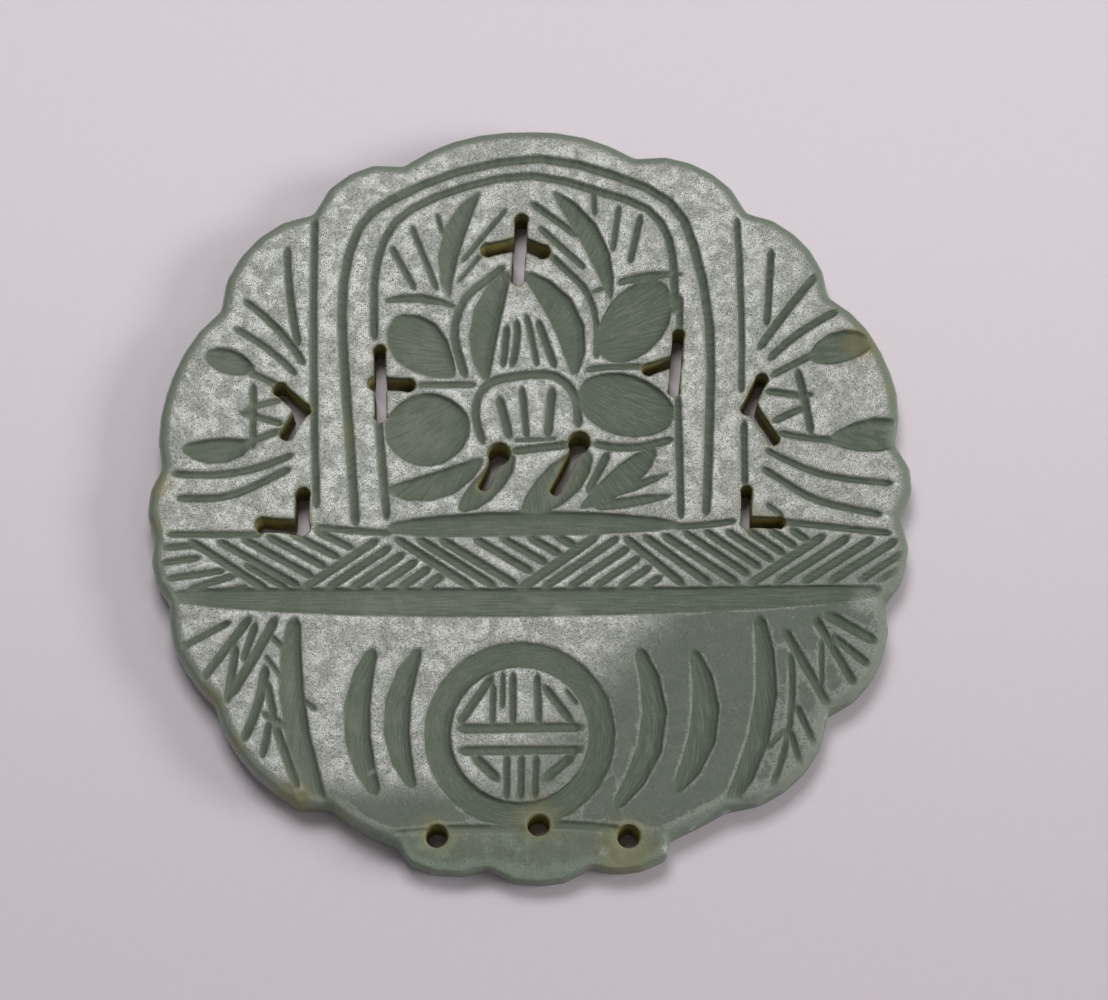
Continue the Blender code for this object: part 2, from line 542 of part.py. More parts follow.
def cut_openings(holder):
    """Openwork slots right through the plate."""
    cut = Cutter("cutter_openings")
    cut.slot(-3.0, 78.4, -4.0, 61.6, 4.1)
    cut.slot(-11.9, 69.8, -4.4, 71.4, 4.5)
    cut.slot(-3.0, 71.7, 2.7, 69.3, 4.6)
    cut.slot(-40.7, 41.1, -40.2, 22.8, 3.8)
    cut.slot(-41.8, 32.0, -33.0, 31.4, 4.3)
    cut.slot(39.0, 45.6, 37.6, 29.8, 3.7)
    cut.slot(38.2, 38.4, 31.0, 35.8, 4.1)
    cut.slot(-67.0, 30.2, -60.8, 24.5, 4.4)
    cut.slot(-61.8, 23.6, -65.0, 17.8, 4.2)
    cut.slot(61.0, 33.0, 57.0, 24.8, 3.9)
    cut.slot(58.6, 24.6, 63.8, 16.3, 3.9)
    cut.slot(-60.4, 0.9, -60.6, -7.2, 4.5)
    cut.slot(-70.6, -7.3, -60.3, -7.9, 4.8)
    cut.slot(56.5, 2.0, 56.3, -6.2, 3.5)
    cut.slot(56.4, -6.6, 64.9, -6.7, 3.8)
    cut.bore(-8.8, 12.4, KEYHOLE_RADIUS)
    cut.slot(-9.2, 12.0, -12.7, 3.9, 3.5)
    cut.bore(12.4, 15.5, KEYHOLE_RADIUS)
    cut.slot(12.0, 14.6, 6.2, 2.6, 3.5)
    cut.finish(holder)


def cut_cord_holes(holder):
    """Three cord holes along the lower edge and the half of a fourth, broken out."""
    cut = Cutter("cutter_cord_holes")
    cut.bore(-24.3, -90.4, CORD_RADIUS)
    cut.bore(1.8, -87.5, CORD_RADIUS)
    cut.bore(24.9, -90.5, CORD_RADIUS)
    cut.bore(53.2, -85.4, CORD_RADIUS)
    cut.finish(holder)


def cut_lip(holder):
    """The lower lip, planed down towards the bottom edge."""
    cut = Cutter("cutter_lip")
    profile = ((LIP_START, THICKNESS + TIP_RISE), (LIP_END, THICKNESS - LIP_DROP),
               (LIP_END, THICKNESS + HEADROOM), (LIP_START, THICKNESS + HEADROOM))
    sides = []
    for x in (-LIP_HALF_WIDTH, LIP_HALF_WIDTH):
        sides.append([cut.bm.verts.new(place(x, y, z)) for y, z in profile])
    left, right = sides
    for index in range(len(profile)):
        cut.bm.faces.new((left[index - 1], left[index], right[index], right[index - 1]))
    cut.bm.faces.new(left)
    cut.bm.faces.new(list(reversed(right)))
    cut.finish(holder)


def cut_chips(holder):
    """Old chips: a nick in the top edge and the crushed lower left corner."""
    cut = Cutter("cutter_chips")
    cut.stroke(0.4, 107.0, 0.6, 101.6, 3.0)
    cut.stroke(-68.0, -82.5, -60.5, -76.2, 4.2)
    cut.stroke(-60.5, -84.5, -57.6, -77.6, 3.6)
    cut.stroke(-95.5, -41.2, -91.2, -39.4, 3.0)
    cut.finish(holder)


def build():
    """Make the plate, cut the ornament out of it and give it its stone."""
    for old in list(bpy.data.objects):
        bpy.data.objects.remove(old, do_unlink=True)
    plate = build_plate()
    holder = bpy.data.collections.new("cutters")
    bpy.context.scene.collection.children.link(holder)
    for motif in (cut_arches, cut_foliage, cut_flower, cut_waves, cut_band, cut_lower_field,
                  cut_disc, cut_openings, cut_cord_holes, cut_lip, cut_chips):
        motif(holder)
    carve = plate.modifiers.new("carving", 'BOOLEAN')
    carve.operation = 'DIFFERENCE'
    carve.solver = 'EXACT'
    carve.operand_type = 'COLLECTION'
    carve.collection = holder
    carve.use_self = True
    stone = bpy.data.materials.new("jade")
    stone.use_nodes = True
    shader = stone.node_tree.nodes["Principled BSDF"]
    shader.inputs["Base Color"].default_value = STONE_COLOUR
    shader.inputs["Roughness"].default_value = STONE_ROUGHNESS
    stone.diffuse_color = STONE_COLOUR
    plate.data.materials.append(stone)


build()
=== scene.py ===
"""Looks of an old carved jade pendant lying face up on pale paper.

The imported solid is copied, worn smooth and given the stone's frosted ground, ground-out cuts,
stained drill holes and old soil. Lengths are metres; places on the carved face are in face
units of one hundredth of half its width, as the carving was laid out.
"""

import logging
import math
from dataclasses import dataclass, field
from enum import Enum

import bpy
import numpy as np
from mathutils import Matrix, Vector
from mathutils.kdtree import KDTree


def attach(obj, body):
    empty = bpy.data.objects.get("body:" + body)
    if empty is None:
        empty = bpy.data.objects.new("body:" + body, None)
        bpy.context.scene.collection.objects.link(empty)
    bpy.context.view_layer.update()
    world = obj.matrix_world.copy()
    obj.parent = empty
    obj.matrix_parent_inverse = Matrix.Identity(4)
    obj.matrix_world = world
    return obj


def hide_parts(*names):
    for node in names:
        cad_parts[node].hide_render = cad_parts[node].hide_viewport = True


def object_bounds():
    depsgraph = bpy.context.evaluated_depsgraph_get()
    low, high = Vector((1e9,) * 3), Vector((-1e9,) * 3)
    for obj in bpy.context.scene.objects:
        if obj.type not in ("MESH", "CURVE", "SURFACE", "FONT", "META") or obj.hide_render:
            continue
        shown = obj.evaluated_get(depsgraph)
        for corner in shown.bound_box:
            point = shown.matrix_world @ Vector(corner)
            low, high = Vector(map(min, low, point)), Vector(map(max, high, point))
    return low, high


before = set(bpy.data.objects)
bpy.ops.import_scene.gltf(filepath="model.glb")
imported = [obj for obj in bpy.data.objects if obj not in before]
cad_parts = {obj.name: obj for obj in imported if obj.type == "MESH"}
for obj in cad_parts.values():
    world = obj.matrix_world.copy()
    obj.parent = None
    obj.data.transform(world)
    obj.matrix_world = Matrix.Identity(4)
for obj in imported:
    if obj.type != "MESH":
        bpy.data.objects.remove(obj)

CAD_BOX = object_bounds()
LOG = logging.getLogger("jade_pendant")

FACE_UNIT = 0.00029
FACE_MIDDLE = Vector((-0.48896, 1.58528))
MILLIMETRE = 0.001


def face_place(x: float, y: float) -> Vector:
    """Turn a place on the carved face into millimetres from the plate's middle.

    Args:
        x: Place to the right, in face units.
        y: Place towards the top, in face units.

    Returns:
        The place as a flat vector in millimetres.
    """
    return (Vector((x, y)) - FACE_MIDDLE) * FACE_UNIT / MILLIMETRE


class Arithmetic(Enum):
    """Operations that signals are reckoned with."""

    ADD = "ADD"
    SUBTRACT = "SUBTRACT"
    MULTIPLY = "MULTIPLY"
    POWER = "POWER"
    LARGER = "MAXIMUM"
    ANGLE = "ARCTAN2"


@dataclass(frozen=True)
class Noise:
    """How one smooth noise is made: features per millimetre, layers, roughness and warp."""

    scale: float
    detail: float = 2.0
    roughness: float = 0.55
    warp: float = 0.0


class Signal:
    """One socket of a material, with arithmetic that adds its Math nodes."""

    def __init__(self, bench: "Bench", socket: bpy.types.NodeSocket) -> None:
        """Keep what the signal stands for.

        Args:
            bench: The bench that makes the nodes.
            socket: The output socket.
        """
        self.bench = bench
        self.socket = socket

    def _math(self, operation: Arithmetic, *values: object) -> "Signal":
        """Add one Math node.

        Args:
            operation: What it reckons.
            *values: Its inputs, in order.

        Returns:
            The result.
        """
        inputs = dict(enumerate(values))
        return self.bench.node("ShaderNodeMath", {"operation": operation.value}, inputs)

    def __add__(self, other: object) -> "Signal":
        """Sum."""
        return self._math(Arithmetic.ADD, self, other)

    def __radd__(self, other: object) -> "Signal":
        """Sum, reflected."""
        return self._math(Arithmetic.ADD, other, self)

    def __sub__(self, other: object) -> "Signal":
        """Difference."""
        return self._math(Arithmetic.SUBTRACT, self, other)

    def __rsub__(self, other: object) -> "Signal":
        """Difference, reflected."""
        return self._math(Arithmetic.SUBTRACT, other, self)

    def __mul__(self, other: object) -> "Signal":
        """Product."""
        return self._math(Arithmetic.MULTIPLY, self, other)

    def __pow__(self, other: object) -> "Signal":
        """Power."""
        return self._math(Arithmetic.POWER, self, other)

    def either(self, other: object) -> "Signal":
        """The larger of two."""
        return self._math(Arithmetic.LARGER, self, other)

    def turn(self, other: object) -> "Signal":
        """Angle whose rise is this and whose run is the other, in radians."""
        return self._math(Arithmetic.ANGLE, self, other)

    def rise(self, low: float, high: float) -> "Signal":
        """Mask that goes smoothly from 0 at low to 1 at high.

        Args:
            low: Value where the mask is 0.
            high: Value where the mask is 1.

        Returns:
            The mask.
        """
        return self.bench.node(
            "ShaderNodeMapRange", {"interpolation_type": "SMOOTHSTEP", "clamp": True},
            {"Value": self, "From Min": low, "From Max": high, "To Min": 0.0, "To Max": 1.0},
        )


class Bench:
    """Makes the nodes of one material."""

    def __init__(self, name: str) -> None:
        """Start an empty material.

        Args:
            name: The material's name.
        """
        self.material = bpy.data.materials.new(name)
        self.material.use_nodes = True
        self.tree = self.material.node_tree
        self.tree.nodes.clear()

    def node(self, kind: str, settings: dict, inputs: dict, output: object = 0) -> Signal:
        """Add one node.

        Args:
            kind: The node's type.
            settings: Its own settings, set before its sockets.
            inputs: Values or signals by socket name or number.
            output: Name or number of the socket that is returned.

        Returns:
            The chosen output.
        """
        made = self.tree.nodes.new(kind)
        for key, value in settings.items():
            setattr(made, key, value)
        for key, value in inputs.items():
            if isinstance(value, Signal):
                self.tree.links.new(value.socket, made.inputs[key])
            else:
                made.inputs[key].default_value = value
        return Signal(self, made.outputs[output])

    def noise(self, place: Signal, kind: Noise) -> Signal:
        """Smooth noise from 0 to 1.

        Args:
            place: Where it is read, in millimetres.
            kind: How it is made.

        Returns:
            The noise.
        """
        return self.node(
            "ShaderNodeTexNoise", {"noise_dimensions": "3D", "normalize": True},
            {"Vector": place, "Scale": kind.scale, "Detail": kind.detail,
             "Roughness": kind.roughness, "Distortion": kind.warp},
        )

    def pits(self, place: Signal, scale: float) -> Signal:
        """Distance to the nearest of many scattered points, for small pits.

        Args:
            place: Where it is read, in millimetres.
            scale: Points per millimetre.

        Returns:
            The distance, as a share of the points' spacing.
        """
        return self.node(
            "ShaderNodeTexVoronoi", {"voronoi_dimensions": "3D", "feature": "F1"},
            {"Vector": place, "Scale": scale, "Randomness": 1.0}, "Distance",
        )

    def vector(self, operation: str, inputs: dict, output: object = 0) -> Signal:
        """Add one Vector Math node.

        Args:
            operation: What it reckons.
            inputs: Values or signals by socket name or number.
            output: Name or number of the socket that is returned.

        Returns:
            The chosen output.
        """
        return self.node("ShaderNodeVectorMath", {"operation": operation}, inputs, output)

    def millimetres(self) -> Signal:
        """The place on the object, in millimetres from its origin."""
        held = self.node("ShaderNodeTexCoord", {}, {}, "Object")
        return self.vector("SCALE", {0: held, "Scale": 1.0 / MILLIMETRE})

    def part(self, vector: Signal, axis: str) -> Signal:
        """One number of a vector.

        Args:
            vector: The vector.
            axis: X, Y or Z.

        Returns:
            The number.
        """
        return self.node("ShaderNodeSeparateXYZ", {}, {0: vector}, axis)

    def attribute(self, name: str) -> Signal:
        """A number kept on the points of the mesh.

        Args:
            name: The attribute's name.

        Returns:
            The number.
        """
        return self.node("ShaderNodeAttribute", {"attribute_name": name}, {}, "Fac")

    def colour(self, factor: object, below: object, above: object) -> Signal:
        """Lay one colour over another.

        Args:
            factor: How much of the upper colour shows.
            below: The lower colour, as four numbers or a signal.
            above: The upper colour, as four numbers or a signal.

        Returns:
            The mixed colour.
        """
        return self.node(
            "ShaderNodeMix",
            {"data_type": "RGBA", "blend_type": "MIX", "clamp_factor": True},
            {0: factor, 6: below, 7: above}, 2,
        )

    def vector_mix(self, factor: Signal, below: Signal, above: Signal) -> Signal:
        """Mix two vectors.

        Args:
            factor: How much of the upper vector shows.
            below: The lower vector.
            above: The upper vector.

        Returns:
            The mixed vector.
        """
        return self.node(
            "ShaderNodeMix", {"data_type": "VECTOR", "factor_mode": "UNIFORM"},
            {0: factor, 4: below, 5: above}, 1,
        )

    def join(self, x: object, y: object) -> Signal:
        """Make a flat vector of two numbers.

        Args:
            x: Its first number.
            y: Its second number.

        Returns:
            The vector.
        """
        return self.node("ShaderNodeCombineXYZ", {}, {"X": x, "Y": y, "Z": 0.0})

    def bump(self, height: Signal, reach: float, strength: float,
             under: Signal | None = None) -> Signal:
        """Turn a height into a shading normal.

        Args:
            height: Height from 0 to 1.
            reach: The rise in metres that 1 stands for.
            strength: Share of the effect.
            under: A normal that this one is laid over.

        Returns:
            The normal.
        """
        inputs = {"Height": height, "Distance": reach, "Strength": strength}
        if under is not None:
            inputs["Normal"] = under
        return self.node("ShaderNodeBump", {}, inputs, "Normal")

    def close(self, shader: Signal) -> bpy.types.Material:
        """Send the finished shader to the material's output.

        Args:
            shader: The shader.

        Returns:
            The material.
        """
        output = self.tree.nodes.new("ShaderNodeOutputMaterial")
        self.tree.links.new(shader.socket, output.inputs["Surface"])
        return self.material


@dataclass(frozen=True)
class Spot:
    """A soft-edged patch on the carved face, in face units."""

    x: float
    y: float
    reach: float
    amount: float = 1.0


@dataclass(frozen=True)
class Masks:
    """Where each part of the stone's look shows, and the noises that break it up."""

    place: Signal
    flat: Signal
    depth: Signal
    near: Signal
    relief: Signal
    lip: Signal
    cut: Signal
    ground: Signal
    mottle: Signal
    patch: Signal
    grain: Signal
    fine: Signal
    speck: Signal
    pit: Signal
    striae: Signal
    worn: Signal
    edge: Signal
    frosted: Signal
    inside: Signal


@dataclass(frozen=True)
class JadeFinish:
    """Grey-green nephrite with a frosted ground, matte cuts and old stains, with painted shade,
    highlights, glints and glow in its colour.

    Spans such as lip_from give the millimetres where a mask is 0 and where it is 1.
    """

    stone: tuple = (0.082, 0.103, 0.066, 1.0)
    # Dark stone tone, also used as painted shade on the right-hand cuts, the lower right and the
    # hollows of the cuts.
    dark_stone_and_shade: tuple = (0.052, 0.072, 0.043, 1.0)
    # Pale stone tone, also used as a painted highlight on the proud edges of the cuts.
    pale_stone_and_highlight: tuple = (0.130, 0.146, 0.106, 1.0)
    # Lighter green painted onto the thin lip and rim as a painted glow of light through thin
    # stone.
    thin_stone_glow: tuple = (0.180, 0.230, 0.170, 1.0)
    # Frost colour, also used as a painted highlight on the cut edges in the lower right.
    frost_and_edge_glint: tuple = (0.285, 0.290, 0.252, 1.0)
    # Painted highlight colour for the glints on the frosted ground.
    glint: tuple = (0.720, 0.730, 0.690, 1.0)
    frost_pit: tuple = (0.058, 0.072, 0.050, 1.0)
    olive: tuple = (0.185, 0.155, 0.045, 1.0)
    amber: tuple = (0.400, 0.330, 0.070, 1.0)
    soil: tuple = (0.115, 0.088, 0.020, 1.0)
    scuff: tuple = (0.420, 0.430, 0.380, 1.0)
    clouds: Noise = Noise(0.16, 4.0, 0.55, 0.6)
    mottle: Noise = Noise(0.9, 5.0, 0.65)
    patch: Noise = Noise(0.80, 5.0, 0.68, 0.4)
    grain: Noise = Noise(5.2, 4.0, 0.75)
    fine: Noise = Noise(12.0, 2.0, 0.70)
    marks: Noise = Noise(1.0, 3.0, 0.6)
    pit_scale: float = 5.8
    stray_reach: float = 1.6
    ring_marks: tuple = (9.0, 5.0)
    ray_marks: tuple = (0.5, 55.0)
    band_marks: tuple = (0.4, 9.0)
    band_from: tuple = (-1.5, -2.3)
    field_from: tuple = (-10.1, -10.5)
    back_from: tuple = (0.30, 0.10)
    wall_from: tuple = (0.90, 0.98)
    lip_from: tuple = (-25.9, -26.5)
    tab_from: tuple = (-21.5, -24.5)
    worn_from: tuple = (15.0, 21.5)
    worn_below: tuple = (-2.0, -8.0)
    cut_from: tuple = (0.045, 0.150)
    inside_from: tuple = (0.45, 0.75)
    coarse_rise: float = 0.000022
    grain_rise: float = 0.000030
    stria_rise: float = 0.000030
    ground_polish: float = 0.27
    rough_patch: float = 0.16
    worn_polish: float = 0.40
    cut_matt: float = 0.50
    refraction: float = 1.61
    disc: tuple = (-3.0, -63.9)
    flower: tuple = (-2.0, 38.0)
    olive_spots: tuple = (
        Spot(-98.5, 3.0, 6.0), Spot(-99.5, -8.0, 4.0), Spot(-84.0, -54.5, 5.0),
        Spot(-76.5, -66.5, 4.0), Spot(-62.0, -82.0, 9.0), Spot(-51.0, -86.0, 6.0, 0.7),
        Spot(89.0, 43.0, 8.0), Spot(24.0, -94.0, 11.0, 0.8), Spot(2.0, -86.0, 9.0, 0.6),
        Spot(-24.0, -90.0, 8.0, 0.6), Spot(-48.5, 18.0, 5.0, 0.4), Spot(97.0, 30.0, 5.0, 0.5),
    )
    scuff_spots: tuple = (
        Spot(87.0, -28.0, 6.0, 0.5), Spot(-41.3, -73.7, 1.6), Spot(-25.5, -100.5, 1.6),
        Spot(50.5, -84.0, 1.5), Spot(41.5, -88.5, 1.3), Spot(34.5, -93.5, 1.6),
        Spot(76.5, -58.8, 1.6), Spot(18.0, -94.0, 2.0, 0.4), Spot(9.0, -32.0, 5.0, 0.35),
    )

    def spots(self, bench: Bench, place: Signal, rows: tuple) -> Signal:
        """Join patches into one mask.

        Args:
            bench: The material's bench.
            place: Flat place in millimetres.
            rows: The patches.

        Returns:
            Mask of all the patches.
        """
        mask = None
        for row in rows:
            middle = face_place(row.x, row.y)
            span = bench.vector("DISTANCE", {0: place, 1: (middle.x, middle.y, 0.0)}, "Value")
            reach = row.reach * FACE_UNIT / MILLIMETRE
            one = span.rise(reach, reach * 0.25) * row.amount
            mask = one if mask is None else mask.either(one)
        return mask

    def around(self, x: Signal, y: Signal, middle: tuple) -> tuple:
        """Distance and angle about a place on the face.

        Args:
            x: Place to the right, in millimetres.
            y: Place towards the top, in millimetres.
            middle: The place they are taken about, in face units.

        Returns:
            The distance in millimetres and the angle in radians.
        """
        spot = face_place(*middle)
        dx = x - spot.x
        dy = y - spot.y
        span = (dx * dx + dy * dy) ** 0.5
        return span, dy.turn(dx)

    def striae(self, bench: Bench, x: Signal, y: Signal) -> Signal:
        """Grinding marks that follow the cuts: round the disc, out of the flower, along the band.

        Args:
            bench: The material's bench.
            x: Place to the right, in millimetres.
            y: Place towards the top, in millimetres.

        Returns:
            The marks, from 0 to 1.
        """
        low_span, low_turn = self.around(x, y, self.disc)
        top_span, top_turn = self.around(x, y, self.flower)
        low = bench.join(low_span * self.ring_marks[0], low_turn * self.ring_marks[1])
        top = bench.join(top_span * self.ray_marks[0], top_turn * self.ray_marks[1])
        band = bench.join(x * self.band_marks[0], y * self.band_marks[1])
        in_band = y.rise(*self.band_from)
        in_low = y.rise(*self.field_from)
        place = bench.vector_mix(in_low, bench.vector_mix(in_band, top, band), low)
        return bench.noise(place, self.marks)

    def stray(self, bench: Bench, place: Signal) -> Signal:
        """Flat place that wanders, so that patches get ragged outlines.

        Args:
            bench: The material's bench.
            place: Place in millimetres.

        Returns:
            The wandering place.
        """
        reach = self.stray_reach
        wander = bench.node(
            "ShaderNodeTexNoise", {"noise_dimensions": "3D"},
            {"Vector": place, "Scale": 0.8, "Detail": 3.0}, "Color")
        loose = bench.vector("MULTIPLY_ADD", {0: wander, 1: (reach, reach, 0.0), 2: place})
        flat = bench.vector("MULTIPLY", {0: loose, 1: (1.0, 1.0, 0.0)})
        return bench.vector("SUBTRACT", {0: flat, 1: (reach / 2.0, reach / 2.0, 0.0)})

    def survey(self, bench: Bench) -> Masks:
        """Work out where each part of the look shows.

        Args:
            bench: The material's bench.

        Returns:
            The masks.
        """
        place = bench.millimetres()
        x = bench.part(place, "X")
        y = bench.part(place, "Y")
        z = bench.part(place, "Z")
        depth = CAD_BOX[1].z / MILLIMETRE - z
        near = bench.attribute("near_hole")
        rim = bench.attribute("rim")
        lip = y.rise(*self.lip_from)
        plain = rim.rise(*self.wall_from).either(z.rise(*self.back_from)).either(lip)
        cut = depth.rise(*self.cut_from) * (1.0 - plain)
        ground = 1.0 - cut
        mottle = bench.noise(place, self.mottle)
        grain = bench.noise(place, self.grain)
        fine = bench.noise(place, self.fine)
        # The frosted finish wears off towards the lower right and the tab, worn smooth by
        # handling. This mask also sets where the lower right is painted darker as painted shade.
        worn = (x * 0.9 - y * 0.8 + mottle * 4.0).rise(*self.worn_from) \
            * y.rise(*self.worn_below)
        worn = worn.either(y.rise(*self.tab_from))
        edge = (rim + mottle * 0.3).rise(0.50, 1.05)
        return Masks(
            place=place, flat=self.stray(bench, place), depth=depth, near=near,
            relief=bench.attribute("relief"), lip=lip, cut=cut, ground=ground, mottle=mottle,
            patch=bench.noise(place, self.patch).rise(0.38, 0.58), grain=grain, fine=fine,
            speck=grain * 0.5 + fine * 0.5, pit=bench.pits(place, self.pit_scale),
            striae=self.striae(bench, x, y), worn=worn, edge=edge,
            frosted=ground * (1.0 - worn * 0.9) * (1.0 - edge * 0.85),
            inside=near.rise(0.35, 0.75) * depth.rise(*self.inside_from),
        )

    def stone_shade_and_glow_colour(self, bench: Bench, masks: Masks, x: Signal) -> Signal:
        """Colour of the bare stone, with the marks in its cuts, painted shade on the right-hand
        cuts and the lower right, and a painted glow on the thin lip and rim.

        Args:
            bench: The material's bench.
            masks: Where each part shows.
            x: Place to the right, in millimetres.

        Returns:
            The colour.
        """
        clouds = bench.noise(masks.place, self.clouds)
        body = bench.colour(clouds.rise(0.35, 0.70), self.stone, self.pale_stone_and_highlight)
        body = bench.colour(masks.mottle.rise(0.50, 0.75) * 0.7, body, self.dark_stone_and_shade)
        # Painted shade: the cuts are painted darker towards the right, and the worn lower right
        # darker too, standing in for the glare that does not reach there.
        painted_shade = (x.rise(-8.0, 12.0) * masks.cut * 0.8).either(masks.worn * 0.85)
        body = bench.colour(painted_shade * (1.0 - masks.lip), body, self.dark_stone_and_shade)
        # Painted glow: patches of the thin lip are painted a lighter green, standing in for light
        # through thin stone.
        body = bench.colour(masks.lip * masks.mottle.rise(0.48, 0.68) * 0.8, body,
                            self.thin_stone_glow)
        body = bench.colour(masks.striae.rise(0.46, 0.60) * masks.cut * 0.60, body,
                            self.pale_stone_and_highlight)
        body = bench.colour(masks.striae.rise(0.48, 0.36) * masks.cut * 0.60, body,
                            self.dark_stone_and_shade)
        # Painted glow: the rim is painted a lighter green, standing in for light through the thin
        # edge.
        return bench.colour(masks.edge * 0.60, body, self.thin_stone_glow)

    def frost_and_glint_colour(self, bench: Bench, masks: Masks, body: Signal) -> Signal:
        """Lay the frosted ground and its pits over the stone, with painted glints on the ground
        and a painted highlight on the cut edges in the lower right.

        Args:
            bench: The material's bench.
            masks: Where each part shows.
            body: The colour below.

        Returns:
            The colour.
        """
        speck = masks.speck
        shown = 1.0 - masks.lip
        veil = bench.colour(speck.rise(0.37, 0.51) * (0.75 + masks.patch * 0.25),
                            self.frost_pit, self.frost_and_edge_glint)
        body = bench.colour(masks.frosted, body, veil)
        pitted = masks.pit.rise(0.36, 0.18) * masks.ground * (0.95 - masks.patch * 0.45)
        body = bench.colour(pitted, body, self.frost_pit)
        # Painted highlight: white glints painted into the frosted ground and, faintly, into the
        # cuts.
        shining = speck.rise(0.57, 0.63) * (masks.frosted * 0.7 + masks.cut * 0.15)
        body = bench.colour(shining, body, self.glint)
        residue = masks.mottle.rise(0.42, 0.66) * speck.rise(0.46, 0.58) * shown
        body = bench.colour(residue * masks.worn * masks.ground * 0.16, body, self.frost_and_edge_glint)
        # Painted highlight: the proud edges of the cuts in the worn lower right are lightened
        # with the frost colour.
        painted_edge_glint = masks.relief.rise(0.86, 1.00) * speck.rise(0.40, 0.54)
        return bench.colour(painted_edge_glint * masks.worn * shown * 0.60, body, self.frost_and_edge_glint)

    def stain_shade_and_highlight_colour(self, bench: Bench, masks: Masks, body: Signal) -> Signal:
        """Lay stains, scuffs and old soil over the stone, then painted shade in the hollows of
        the cuts and a painted highlight on their proud edges.

        Args:
            bench: The material's bench.
            masks: Where each part shows.
            body: The colour below.

        Returns:
            The colour.
        """
        mottle = masks.mottle
        olive = self.spots(bench, masks.flat, self.olive_spots)
        body = bench.colour(olive * (0.35 + mottle * 0.5), body, self.olive)
        scuffs = self.spots(bench, masks.flat, self.scuff_spots)
        body = bench.colour(scuffs * masks.fine.rise(0.35, 0.6), body, self.scuff)
        brim = masks.near.rise(0.60, 0.90) * mottle.rise(0.35, 0.65) * 0.45
        body = bench.colour(brim, body, self.olive)
        body = bench.colour(masks.inside * 0.92, body, self.amber)
        soiled = masks.inside * masks.depth.rise(0.6, 2.6) * mottle.rise(0.30, 0.60)
        body = bench.colour(soiled, body, self.soil)
        # Painted shade: the hollows of the cuts are painted darker.
        body = bench.colour(masks.relief.rise(0.45, 0.15) * 0.35 * masks.cut, body,
                            self.dark_stone_and_shade)
        # Painted highlight: the proud edges of the cuts are painted lighter.
        return bench.colour(masks.relief.rise(0.58, 0.85) * masks.cut * 0.45, body,
                            self.pale_stone_and_highlight)

    def surface(self, bench: Bench, masks: Masks) -> Signal:
        """Fine relief of the stone: its swells, its grit and the grinding marks.

        Args:
            bench: The material's bench.
            masks: Where each part shows.

        Returns:
            The shading normal.
        """
        grit = masks.grain * 0.65 + masks.fine * 0.35 + masks.pit.rise(0.0, 0.36) * 0.45
        gritty = 0.35 + masks.frosted * (0.95 - masks.patch * 0.45)
        coarse = bench.bump(masks.mottle, self.coarse_rise, 1.0)
        rough = bench.bump(grit * gritty, self.grain_rise, 1.0, coarse)
        return bench.bump(masks.striae * masks.cut, self.stria_rise, 1.0, rough)

    def make(self) -> bpy.types.Material:
        """Build the material."""
        bench = Bench("jade")
        masks = self.survey(bench)
        body = self.stone_shade_and_glow_colour(bench, masks, bench.part(masks.place, "X"))
        body = self.frost_and_glint_colour(bench, masks, body)
        body = self.stain_shade_and_highlight_colour(bench, masks, body)
        roughness = self.ground_polish \
            + (1.0 - masks.patch) * masks.frosted * self.rough_patch \
            + masks.worn * masks.ground * self.worn_polish \
            + masks.cut * self.cut_matt + masks.inside * 0.1
        shader = bench.node(
            "ShaderNodeBsdfPrincipled", {},
            {"Base Color": body, "Roughness": roughness, "Normal": self.surface(bench, masks),
             "IOR": self.refraction},
        )
        return bench.close(shader)


@dataclass(frozen=True)
class PaperFinish:
    """Matte, faintly pink photographer's paper, with painted shade that darkens it towards the
    viewer.
    """

    tint: tuple = (0.668, 0.606, 0.640, 1.0)
    shade: tuple = (0.585, 0.528, 0.560, 1.0)
    shade_from: tuple = (32.0, -42.0)
    tooth: Noise = Noise(1.1, 3.0, 0.6)
    tooth_rise: float = 0.00003
    matt: float = 0.95
    sheen: float = 0.1

    def make(self) -> bpy.types.Material:
        """Build the material."""
        bench = Bench("pale_paper")
        place = bench.millimetres()
        tooth = bench.noise(place, self.tooth)
        # Painted shade: the paper darkens towards the viewer, standing in for the light falling
        # off.
        shaded = bench.part(place, "Y").rise(*self.shade_from)
        body = bench.colour(shaded * 0.9 + tooth.rise(0.3, 0.7) * 0.1, self.tint, self.shade)
        shader = bench.node(
            "ShaderNodeBsdfPrincipled", {},
            {"Base Color": body, "Roughness": self.matt,
             "Normal": bench.bump(tooth, self.tooth_rise, 0.5),
             "Specular IOR Level": self.sheen},
        )
        return bench.close(shader)


def alone(thing: bpy.types.Object) -> None:
    """Make one object the only selected and the active one.

    Args:
        thing: The object.
    """
    bpy.ops.object.select_all(action="DESELECT")
    thing.select_set(True)
    bpy.context.view_layer.objects.active = thing


